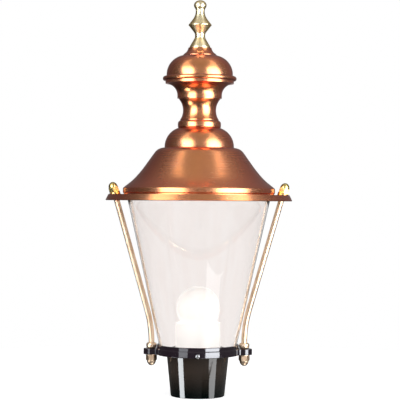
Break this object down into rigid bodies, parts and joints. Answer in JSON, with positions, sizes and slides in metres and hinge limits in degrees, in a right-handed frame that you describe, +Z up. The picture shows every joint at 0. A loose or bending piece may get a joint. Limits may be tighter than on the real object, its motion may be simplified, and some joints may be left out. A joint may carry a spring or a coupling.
{
  "type": "post top lantern",
  "caption": "Post top lantern with a tiered spun copper roof and finial over a tapered clear glass, clamped by two bent brass rods to a black base ring and post socket.",
  "frame": {"origin": "middle of the post socket's foot, on the lantern's axis", "axes": "+Z up along the lantern's axis, -Y to the front, the two brass rods on +X and -X"},
  "size_m": [0.33, 0.33, 0.6994],
  "materials": {
    "spun_copper": "satin copper, lacquered",
    "polished_brass": "polished",
    "black_paint": "gloss black stove enamel",
    "white_enamel": "gloss white enamel",
    "zinc_plate": "zinc plated steel, dull",
    "stainless": "satin stainless",
    "clear_glass": "clear, fire polished",
    "opal_glass": "opal white",
    "black_rubber": "matt",
    "white_ceramic": "glazed",
    "white_plastic": "gloss",
    "black_plastic": "matt",
    "nickel_plate": "nickel plated",
    "black_ceramic": "vitreous black",
    "brown_sleeve": "smooth wire sleeve",
    "blue_sleeve": "smooth wire sleeve"
  },
  "bodies": {
    "base": {"post_socket": "black_paint", "base_ring": "black_paint", "ring_screws": "stainless", "gear_plate": "zinc_plate", "gear_plate_screws": "stainless", "lampholder_cover": "white_enamel", "cover_screws": "stainless", "lampholder": "white_ceramic", "lampholder_shell": "nickel_plate", "centre_contact": "polished_brass", "holder_terminals": "nickel_plate", "terminal_block": "white_plastic", "live_lead": "brown_sleeve", "neutral_lead": "blue_sleeve", "cable_gland": "black_plastic", "gland_seal": "black_rubber", "gland_locknut": "black_plastic", "earth_stud": "polished_brass", "earth_nut": "polished_brass", "lower_gasket": "black_rubber"},
    "top": {"glass": "clear_glass", "upper_gasket": "black_rubber", "glass_carrier": "spun_copper", "carrier_screws": "stainless", "roof_flange": "spun_copper", "reflector": "white_enamel", "roof_skirt": "spun_copper", "crown_dome": "spun_copper", "neck_collar": "spun_copper", "neck": "spun_copper", "funnel": "spun_copper", "seam_bead": "spun_copper", "cap_dome": "spun_copper", "finial_seat": "spun_copper", "finial": "polished_brass", "tie_rod": "zinc_plate", "roof_bridge": "zinc_plate", "tie_nuts": "zinc_plate", "tie_spacer": "zinc_plate", "tie_washer": "zinc_plate", "rod_left": "polished_brass", "rod_right": "polished_brass", "shoulder_nuts": "polished_brass", "under_collars": "polished_brass"},
    "lower_washer_left": {"lower_washer_left": "polished_brass"},
    "lower_cap_nut_left": {"lower_cap_nut_left": "polished_brass"},
    "upper_washer_left": {"upper_washer_left": "polished_brass"},
    "upper_cap_nut_left": {"upper_cap_nut_left": "polished_brass"},
    "lower_washer_right": {"lower_washer_right": "polished_brass"},
    "lower_cap_nut_right": {"lower_cap_nut_right": "polished_brass"},
    "upper_washer_right": {"upper_washer_right": "polished_brass"},
    "upper_cap_nut_right": {"upper_cap_nut_right": "polished_brass"},
    "bulb_tip": {"bulb_tip": "nickel_plate"},
    "bulb": {"bulb_globe": "opal_glass", "bulb_cap": "nickel_plate", "bulb_insulator": "black_ceramic"},
    "grub_screw_left": {"grub_screw_left": "stainless"},
    "grub_screw_right": {"grub_screw_right": "stainless"},
    "grub_screw_back": {"grub_screw_back": "stainless"}
  },
  "joints": [
    {"name": "top_lift", "type": "slide", "parent": "base", "child": "top", "axis": [0, 0, 1], "range_m": [0, 0.15]},
    {"name": "lower_washer_left_drop", "type": "slide", "parent": "base", "child": "lower_washer_left", "axis": [0, 0, -1], "range_m": [0, 0.012]},
    {"name": "lower_cap_nut_left_turn", "type": "hinge", "parent": "lower_washer_left", "child": "lower_cap_nut_left", "pos_m": [-0.082, 0, 0.0714], "axis": [0, 0, -1], "range_deg": [0, 2880]},
    {"name": "upper_washer_left_rise", "type": "slide", "parent": "top", "child": "upper_washer_left", "axis": [-0.2756, 0, 0.9613], "range_m": [0, 0.012]},
    {"name": "upper_cap_nut_left_turn", "type": "hinge", "parent": "upper_washer_left", "child": "upper_cap_nut_left", "pos_m": [-0.14927, 0, 0.35889], "axis": [-0.2756, 0, 0.9613], "range_deg": [0, 2880]},
    {"name": "lower_washer_right_drop", "type": "slide", "parent": "base", "child": "lower_washer_right", "axis": [0, 0, -1], "range_m": [0, 0.012]},
    {"name": "lower_cap_nut_right_turn", "type": "hinge", "parent": "lower_washer_right", "child": "lower_cap_nut_right", "pos_m": [0.082, 0, 0.0714], "axis": [0, 0, -1], "range_deg": [0, 2880]},
    {"name": "upper_washer_right_rise", "type": "slide", "parent": "top", "child": "upper_washer_right", "axis": [0.2756, 0, 0.9613], "range_m": [0, 0.012]},
    {"name": "upper_cap_nut_right_turn", "type": "hinge", "parent": "upper_washer_right", "child": "upper_cap_nut_right", "pos_m": [0.14927, 0, 0.35889], "axis": [0.2756, 0, 0.9613], "range_deg": [0, 2880]},
    {"name": "bulb_rise", "type": "slide", "parent": "base", "child": "bulb_tip", "axis": [0, 0, 1], "range_m": [0, 0.0198]},
    {"name": "bulb_turn", "type": "hinge", "parent": "bulb_tip", "child": "bulb", "pos_m": [0, 0, 0.12], "axis": [0, 0, 1], "range_deg": [0, 1980]},
    {"name": "grub_screw_left_feed", "type": "slide", "parent": "base", "child": "grub_screw_left", "axis": [1, 0, 0], "range_m": [0, 0.0045]},
    {"name": "grub_screw_right_feed", "type": "slide", "parent": "base", "child": "grub_screw_right", "axis": [-1, 0, 0], "range_m": [0, 0.0045]},
    {"name": "grub_screw_back_feed", "type": "slide", "parent": "base", "child": "grub_screw_back", "axis": [0, -1, 0], "range_m": [0, 0.0045]}
  ],
  "couplings": [
    {"joint": "lower_cap_nut_left_turn", "follows": "lower_washer_left_drop", "rad_per_m": 4188.8},
    {"joint": "upper_cap_nut_left_turn", "follows": "upper_washer_left_rise", "rad_per_m": 4188.8},
    {"joint": "lower_cap_nut_right_turn", "follows": "lower_washer_right_drop", "rad_per_m": 4188.8},
    {"joint": "upper_cap_nut_right_turn", "follows": "upper_washer_right_rise", "rad_per_m": 4188.8},
    {"joint": "bulb_turn", "follows": "bulb_rise", "rad_per_m": 1745.3}
  ]
}
